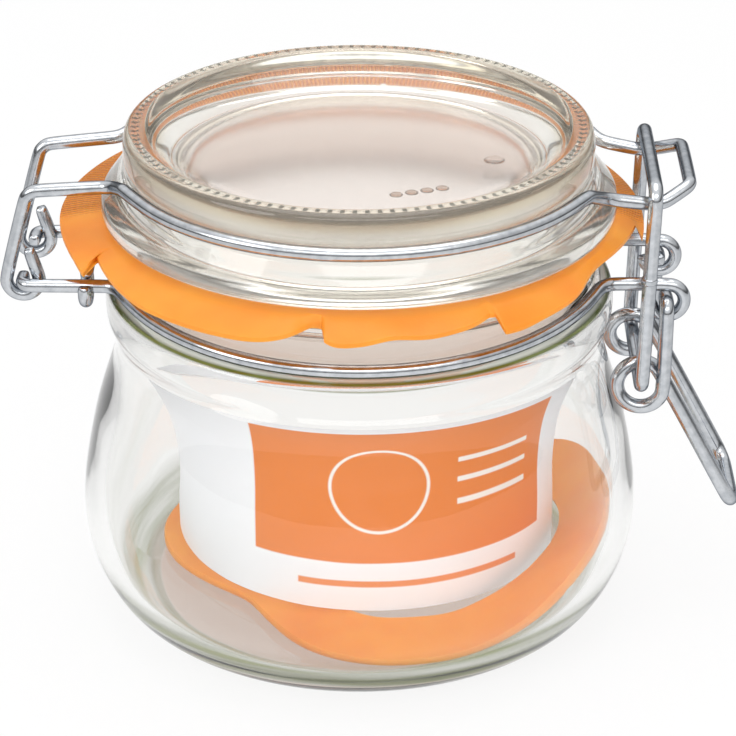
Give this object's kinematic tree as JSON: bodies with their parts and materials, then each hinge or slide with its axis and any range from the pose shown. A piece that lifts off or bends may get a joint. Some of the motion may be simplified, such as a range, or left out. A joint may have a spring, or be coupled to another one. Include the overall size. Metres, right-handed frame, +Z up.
{
  "type": "clamp jar",
  "caption": "Small round glass storage jar with a swelling belly, a hinged glass lid on a rubber ring, and a wire lever latch that clamps the lid shut.",
  "frame": {"origin": "centre of the resting face of the jar, on the axis of the mouth", "axes": "+Z up along the axis of the mouth; the hinge is at -X, the latch at +X, and the printed side of the card inside faces -Y"},
  "size_m": [0.1362, 0.1058, 0.0944],
  "materials": {
    "clear_glass": "gloss",
    "galvanised_wire": "satin",
    "orange_rubber": "satin",
    "printed_card": "satin"
  },
  "bodies": {
    "jar": {"jar_body": "clear_glass", "band_wire_front": "galvanised_wire", "band_wire_back": "galvanised_wire", "cross_tie": "galvanised_wire", "label_card": "printed_card", "spare_seal": "orange_rubber"},
    "lid": {"lid": "clear_glass", "lid_wire": "galvanised_wire", "seal": "orange_rubber"},
    "lever": {"lever": "galvanised_wire"},
    "link": {"link": "galvanised_wire"}
  },
  "joints": [
    {"name": "lid_hinge", "type": "hinge", "parent": "jar", "child": "lid", "pos_m": [-0.0607, 0, 0.0675], "axis": [0, -1, 0], "range_deg": [0, 180]},
    {"name": "lever_pivot", "type": "hinge", "parent": "jar", "child": "lever", "pos_m": [0.05565, 0, 0.0644], "axis": [0, -1, 0], "range_deg": [0, 110]},
    {"name": "link_pivot", "type": "hinge", "parent": "lever", "child": "link", "pos_m": [0.05145, 0, 0.0491], "axis": [0, -1, 0], "range_deg": [-76, 0]}
  ],
  "couplings": [
    {"joint": "link_pivot", "follows": "lever_pivot", "ratio": -0.68}
  ]
}
